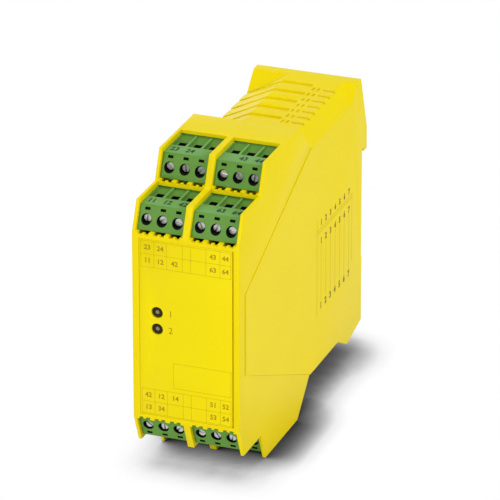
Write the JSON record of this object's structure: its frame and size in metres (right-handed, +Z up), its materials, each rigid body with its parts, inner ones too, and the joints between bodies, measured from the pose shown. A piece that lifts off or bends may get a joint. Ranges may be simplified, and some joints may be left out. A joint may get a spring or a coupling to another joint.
{
  "type": "interface relay",
  "caption": "Slim interface relay for a mounting rail: stepped rows of pull-out screw terminal plugs, a flat front plate with status lamps, a vented rear housing and a sprung foot latch.",
  "frame": {"origin": "on the rail's centre line, in the plane of the rail seat at the back, midway across the width", "axes": "+X to the right seen from the front, +Y backwards out of the rail seat, +Z up; the front plate faces -Y"},
  "size_m": [0.035, 0.1145, 0.099],
  "materials": {
    "housing_yellow": "fine satin moulded polyamide",
    "plate_yellow": "smooth satin plate with fine dark print",
    "latch_yellow": "fine satin moulded polyamide",
    "spring_steel": "drawn spring wire",
    "board_green": "lacquered glass-fibre board",
    "lamp_clear": "clear moulded light guide",
    "relay_case": "smooth moulded case",
    "capacitor_sleeve": "shrunk sleeve",
    "plug_green": "satin moulded polyamide",
    "header_green": "satin moulded polyamide",
    "cage_steel": "plated steel",
    "screw_steel": "plated steel"
  },
  "bodies": {
    "housing": {"front_housing": "housing_yellow", "rear_housing": "housing_yellow", "front_plate": "plate_yellow", "circuit_board": "board_green", "status_lamp_1": "lamp_clear", "status_lamp_2": "lamp_clear", "relay_1": "relay_case", "relay_2": "relay_case", "supply_capacitor": "capacitor_sleeve", "latch_spring": "spring_steel", "header_top_front_left": "header_green", "header_top_front_right": "header_green", "header_top_rear_left": "header_green", "header_top_rear_right": "header_green", "header_bottom_front_left": "header_green", "header_bottom_front_right": "header_green", "header_bottom_rear_left": "header_green", "header_bottom_rear_right": "header_green"},
    "foot_latch": {"foot_latch": "latch_yellow"},
    "plug_top_front_left": {"plug_top_front_left": "plug_green", "cages_top_front_left": "cage_steel"},
    "plug_top_front_right": {"plug_top_front_right": "plug_green", "cages_top_front_right": "cage_steel"},
    "plug_top_rear_left": {"plug_top_rear_left": "plug_green", "cages_top_rear_left": "cage_steel"},
    "plug_top_rear_right": {"plug_top_rear_right": "plug_green", "cages_top_rear_right": "cage_steel"},
    "plug_bottom_front_left": {"plug_bottom_front_left": "plug_green", "cages_bottom_front_left": "cage_steel"},
    "plug_bottom_front_right": {"plug_bottom_front_right": "plug_green", "cages_bottom_front_right": "cage_steel"},
    "plug_bottom_rear_left": {"plug_bottom_rear_left": "plug_green", "cages_bottom_rear_left": "cage_steel"},
    "plug_bottom_rear_right": {"plug_bottom_rear_right": "plug_green", "cages_bottom_rear_right": "cage_steel"},
    "screw_top_front_left_1": {"screw_top_front_left_1": "screw_steel"},
    "screw_top_front_left_2": {"screw_top_front_left_2": "screw_steel"},
    "screw_top_front_left_3": {"screw_top_front_left_3": "screw_steel"},
    "screw_top_front_right_1": {"screw_top_front_right_1": "screw_steel"},
    "screw_top_front_right_2": {"screw_top_front_right_2": "screw_steel"},
    "screw_top_front_right_3": {"screw_top_front_right_3": "screw_steel"},
    "screw_top_rear_left_1": {"screw_top_rear_left_1": "screw_steel"},
    "screw_top_rear_left_2": {"screw_top_rear_left_2": "screw_steel"},
    "screw_top_rear_left_3": {"screw_top_rear_left_3": "screw_steel"},
    "screw_top_rear_right_1": {"screw_top_rear_right_1": "screw_steel"},
    "screw_top_rear_right_2": {"screw_top_rear_right_2": "screw_steel"},
    "screw_top_rear_right_3": {"screw_top_rear_right_3": "screw_steel"},
    "screw_bottom_front_left_1": {"screw_bottom_front_left_1": "screw_steel"},
    "screw_bottom_front_left_2": {"screw_bottom_front_left_2": "screw_steel"},
    "screw_bottom_front_left_3": {"screw_bottom_front_left_3": "screw_steel"},
    "screw_bottom_front_right_1": {"screw_bottom_front_right_1": "screw_steel"},
    "screw_bottom_front_right_2": {"screw_bottom_front_right_2": "screw_steel"},
    "screw_bottom_front_right_3": {"screw_bottom_front_right_3": "screw_steel"},
    "screw_bottom_rear_left_1": {"screw_bottom_rear_left_1": "screw_steel"},
    "screw_bottom_rear_left_2": {"screw_bottom_rear_left_2": "screw_steel"},
    "screw_bottom_rear_left_3": {"screw_bottom_rear_left_3": "screw_steel"},
    "screw_bottom_rear_right_1": {"screw_bottom_rear_right_1": "screw_steel"},
    "screw_bottom_rear_right_2": {"screw_bottom_rear_right_2": "screw_steel"},
    "screw_bottom_rear_right_3": {"screw_bottom_rear_right_3": "screw_steel"}
  },
  "joints": [
    {"name": "foot_latch_slide", "type": "slide", "parent": "housing", "child": "foot_latch", "axis": [0, 0, -1], "range_m": [0, 0.003], "stiffness_N_per_m": 600, "springref_m": -0.002, "deforming": ["latch_spring"]},
    {"name": "plug_top_front_left_pull", "type": "slide", "parent": "housing", "child": "plug_top_front_left", "axis": [0, -1, 0], "range_m": [0, 0.02]},
    {"name": "plug_top_front_right_pull", "type": "slide", "parent": "housing", "child": "plug_top_front_right", "axis": [0, -1, 0], "range_m": [0, 0.02]},
    {"name": "plug_top_rear_left_pull", "type": "slide", "parent": "housing", "child": "plug_top_rear_left", "axis": [0, -1, 0], "range_m": [0, 0.02]},
    {"name": "plug_top_rear_right_pull", "type": "slide", "parent": "housing", "child": "plug_top_rear_right", "axis": [0, -1, 0], "range_m": [0, 0.02]},
    {"name": "plug_bottom_front_left_pull", "type": "slide", "parent": "housing", "child": "plug_bottom_front_left", "axis": [0, -1, 0], "range_m": [0, 0.02]},
    {"name": "plug_bottom_front_right_pull", "type": "slide", "parent": "housing", "child": "plug_bottom_front_right", "axis": [0, -1, 0], "range_m": [0, 0.02]},
    {"name": "plug_bottom_rear_left_pull", "type": "slide", "parent": "housing", "child": "plug_bottom_rear_left", "axis": [0, -1, 0], "range_m": [0, 0.02]},
    {"name": "plug_bottom_rear_right_pull", "type": "slide", "parent": "housing", "child": "plug_bottom_rear_right", "axis": [0, -1, 0], "range_m": [0, 0.02]},
    {"name": "screw_top_front_left_1_turn", "type": "hinge", "parent": "plug_top_front_left", "child": "screw_top_front_left_1", "pos_m": [-0.01365, -0.1062, 0.03237], "axis": [0, -1, 0], "range_deg": [0, 1440]},
    {"name": "screw_top_front_left_2_turn", "type": "hinge", "parent": "plug_top_front_left", "child": "screw_top_front_left_2", "pos_m": [-0.00865, -0.1062, 0.03237], "axis": [0, -1, 0], "range_deg": [0, 1440]},
    {"name": "screw_top_front_left_3_turn", "type": "hinge", "parent": "plug_top_front_left", "child": "screw_top_front_left_3", "pos_m": [-0.00365, -0.1062, 0.03237], "axis": [0, -1, 0], "range_deg": [0, 1440]},
    {"name": "screw_top_front_right_1_turn", "type": "hinge", "parent": "plug_top_front_right", "child": "screw_top_front_right_1", "pos_m": [0.00365, -0.1062, 0.03237], "axis": [0, -1, 0], "range_deg": [0, 1440]},
    {"name": "screw_top_front_right_2_turn", "type": "hinge", "parent": "plug_top_front_right", "child": "screw_top_front_right_2", "pos_m": [0.00865, -0.1062, 0.03237], "axis": [0, -1, 0], "range_deg": [0, 1440]},
    {"name": "screw_top_front_right_3_turn", "type": "hinge", "parent": "plug_top_front_right", "child": "screw_top_front_right_3", "pos_m": [0.01365, -0.1062, 0.03237], "axis": [0, -1, 0], "range_deg": [0, 1440]},
    {"name": "screw_top_rear_left_1_turn", "type": "hinge", "parent": "plug_top_rear_left", "child": "screw_top_rear_left_1", "pos_m": [-0.01365, -0.0873, 0.04177], "axis": [0, -1, 0], "range_deg": [0, 1440]},
    {"name": "screw_top_rear_left_2_turn", "type": "hinge", "parent": "plug_top_rear_left", "child": "screw_top_rear_left_2", "pos_m": [-0.00865, -0.0873, 0.04177], "axis": [0, -1, 0], "range_deg": [0, 1440]},
    {"name": "screw_top_rear_left_3_turn", "type": "hinge", "parent": "plug_top_rear_left", "child": "screw_top_rear_left_3", "pos_m": [-0.00365, -0.0873, 0.04177], "axis": [0, -1, 0], "range_deg": [0, 1440]},
    {"name": "screw_top_rear_right_1_turn", "type": "hinge", "parent": "plug_top_rear_right", "child": "screw_top_rear_right_1", "pos_m": [0.00365, -0.0873, 0.04177], "axis": [0, -1, 0], "range_deg": [0, 1440]},
    {"name": "screw_top_rear_right_2_turn", "type": "hinge", "parent": "plug_top_rear_right", "child": "screw_top_rear_right_2", "pos_m": [0.00865, -0.0873, 0.04177], "axis": [0, -1, 0], "range_deg": [0, 1440]},
    {"name": "screw_top_rear_right_3_turn", "type": "hinge", "parent": "plug_top_rear_right", "child": "screw_top_rear_right_3", "pos_m": [0.01365, -0.0873, 0.04177], "axis": [0, -1, 0], "range_deg": [0, 1440]},
    {"name": "screw_bottom_front_left_1_turn", "type": "hinge", "parent": "plug_bottom_front_left", "child": "screw_bottom_front_left_1", "pos_m": [-0.01365, -0.1062, -0.03637], "axis": [0, -1, 0], "range_deg": [0, 1440]},
    {"name": "screw_bottom_front_left_2_turn", "type": "hinge", "parent": "plug_bottom_front_left", "child": "screw_bottom_front_left_2", "pos_m": [-0.00865, -0.1062, -0.03637], "axis": [0, -1, 0], "range_deg": [0, 1440]},
    {"name": "screw_bottom_front_left_3_turn", "type": "hinge", "parent": "plug_bottom_front_left", "child": "screw_bottom_front_left_3", "pos_m": [-0.00365, -0.1062, -0.03637], "axis": [0, -1, 0], "range_deg": [0, 1440]},
    {"name": "screw_bottom_front_right_1_turn", "type": "hinge", "parent": "plug_bottom_front_right", "child": "screw_bottom_front_right_1", "pos_m": [0.00365, -0.1062, -0.03637], "axis": [0, -1, 0], "range_deg": [0, 1440]},
    {"name": "screw_bottom_front_right_2_turn", "type": "hinge", "parent": "plug_bottom_front_right", "child": "screw_bottom_front_right_2", "pos_m": [0.00865, -0.1062, -0.03637], "axis": [0, -1, 0], "range_deg": [0, 1440]},
    {"name": "screw_bottom_front_right_3_turn", "type": "hinge", "parent": "plug_bottom_front_right", "child": "screw_bottom_front_right_3", "pos_m": [0.01365, -0.1062, -0.03637], "axis": [0, -1, 0], "range_deg": [0, 1440]},
    {"name": "screw_bottom_rear_left_1_turn", "type": "hinge", "parent": "plug_bottom_rear_left", "child": "screw_bottom_rear_left_1", "pos_m": [-0.01365, -0.0873, -0.04577], "axis": [0, -1, 0], "range_deg": [0, 1440]},
    {"name": "screw_bottom_rear_left_2_turn", "type": "hinge", "parent": "plug_bottom_rear_left", "child": "screw_bottom_rear_left_2", "pos_m": [-0.00865, -0.0873, -0.04577], "axis": [0, -1, 0], "range_deg": [0, 1440]},
    {"name": "screw_bottom_rear_left_3_turn", "type": "hinge", "parent": "plug_bottom_rear_left", "child": "screw_bottom_rear_left_3", "pos_m": [-0.00365, -0.0873, -0.04577], "axis": [0, -1, 0], "range_deg": [0, 1440]},
    {"name": "screw_bottom_rear_right_1_turn", "type": "hinge", "parent": "plug_bottom_rear_right", "child": "screw_bottom_rear_right_1", "pos_m": [0.00365, -0.0873, -0.04577], "axis": [0, -1, 0], "range_deg": [0, 1440]},
    {"name": "screw_bottom_rear_right_2_turn", "type": "hinge", "parent": "plug_bottom_rear_right", "child": "screw_bottom_rear_right_2", "pos_m": [0.00865, -0.0873, -0.04577], "axis": [0, -1, 0], "range_deg": [0, 1440]},
    {"name": "screw_bottom_rear_right_3_turn", "type": "hinge", "parent": "plug_bottom_rear_right", "child": "screw_bottom_rear_right_3", "pos_m": [0.01365, -0.0873, -0.04577], "axis": [0, -1, 0], "range_deg": [0, 1440]}
  ]
}
